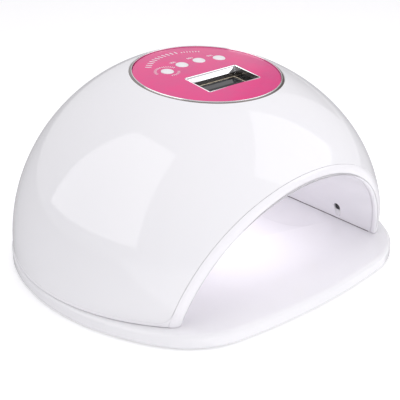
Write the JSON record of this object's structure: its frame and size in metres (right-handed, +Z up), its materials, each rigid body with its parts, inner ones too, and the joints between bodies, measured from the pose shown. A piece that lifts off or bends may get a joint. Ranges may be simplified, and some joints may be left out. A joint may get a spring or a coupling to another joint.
{
  "type": "uv led nail lamp",
  "caption": "Glossy white domed nail lamp with an arched hand opening, a round pink control panel with a screen and push buttons, and a removable magnetic tray.",
  "frame": {"origin": "centre of the lamp's box on the table surface, under the rubber feet", "axes": "+Z up, the hand opening faces -Y, +X to the right as seen from the front"},
  "size_m": [0.22, 0.2124, 0.1135],
  "materials": {
    "gloss_white": "glossy",
    "liner_white": "semi-gloss",
    "tray_white": "semi-gloss",
    "rubber": "matte",
    "chrome": "polished",
    "pink_panel": "satin",
    "screen": "gloss",
    "button_white": "glossy",
    "black_plastic": "matte",
    "sensor_dark": "gloss",
    "pcb_green": "solder mask",
    "led_board_white": "white solder mask",
    "led_lens": "clear",
    "aluminium": "milled",
    "steel": "plated",
    "brass": "turned",
    "ferrite": "matte",
    "connector_white": "matte",
    "lead_black": "smooth",
    "lead_red": "smooth",
    "ribbon_grey": "satin"
  },
  "bodies": {
    "tray": {"tray_plate": "tray_white", "tray_magnets": "steel", "rubber_feet": "rubber"},
    "button_1": {"button_1": "button_white", "switch_plunger_1": "connector_white"},
    "button_2": {"button_2": "button_white", "switch_plunger_2": "connector_white"},
    "button_3": {"button_3": "button_white", "switch_plunger_3": "connector_white"},
    "button_4": {"button_4": "button_white", "switch_plunger_4": "connector_white"},
    "dome": {"board_standoffs": "brass", "capacitors": "black_plastic", "chrome_ring": "chrome", "control_panel": "pink_panel", "controller_chip": "black_plastic", "dc_jack": "black_plastic", "dc_jack_nut": "steel", "dc_jack_pin": "steel", "display_board": "pcb_green", "display_header": "black_plastic", "display_screws": "steel", "dome_magnets": "steel", "heat_spreader": "aluminium", "inner_liner": "liner_white", "lcd_bezel": "chrome", "lcd_module": "black_plastic", "lcd_window": "screen", "led_beads_back": "led_lens", "led_beads_left": "led_lens", "led_beads_right": "led_lens", "led_beads_top": "led_lens", "led_board_back": "led_board_white", "led_board_left": "led_board_white", "led_board_right": "led_board_white", "led_board_top": "led_board_white", "led_leads": "lead_red", "main_board": "pcb_green", "main_board_screws": "steel", "main_header": "black_plastic", "outer_shell": "gloss_white", "power_inductors": "ferrite", "power_leads": "lead_black", "ribbon_cable": "ribbon_grey", "sensor_emitter": "sensor_dark", "sensor_receiver": "black_plastic", "shell_screws": "steel", "spreader_screws": "steel", "tact_switches": "black_plastic", "wire_connectors": "connector_white"}
  },
  "joints": [
    {"name": "dome_lift", "type": "slide", "parent": "tray", "child": "dome", "axis": [0, 0, 1], "range_m": [0, 0.15]},
    {"name": "button_1_press", "type": "slide", "parent": "dome", "child": "button_1", "axis": [0, 0.0819, -0.9966], "range_m": [0, 0.0004], "stiffness_N_per_m": 400, "springref_m": -0.0005},
    {"name": "button_2_press", "type": "slide", "parent": "dome", "child": "button_2", "axis": [0, 0.0819, -0.9966], "range_m": [0, 0.0004], "stiffness_N_per_m": 400, "springref_m": -0.0005},
    {"name": "button_3_press", "type": "slide", "parent": "dome", "child": "button_3", "axis": [0, 0.0819, -0.9966], "range_m": [0, 0.0004], "stiffness_N_per_m": 400, "springref_m": -0.0005},
    {"name": "button_4_press", "type": "slide", "parent": "dome", "child": "button_4", "axis": [0, 0.0819, -0.9966], "range_m": [0, 0.0004], "stiffness_N_per_m": 400, "springref_m": -0.0005}
  ]
}
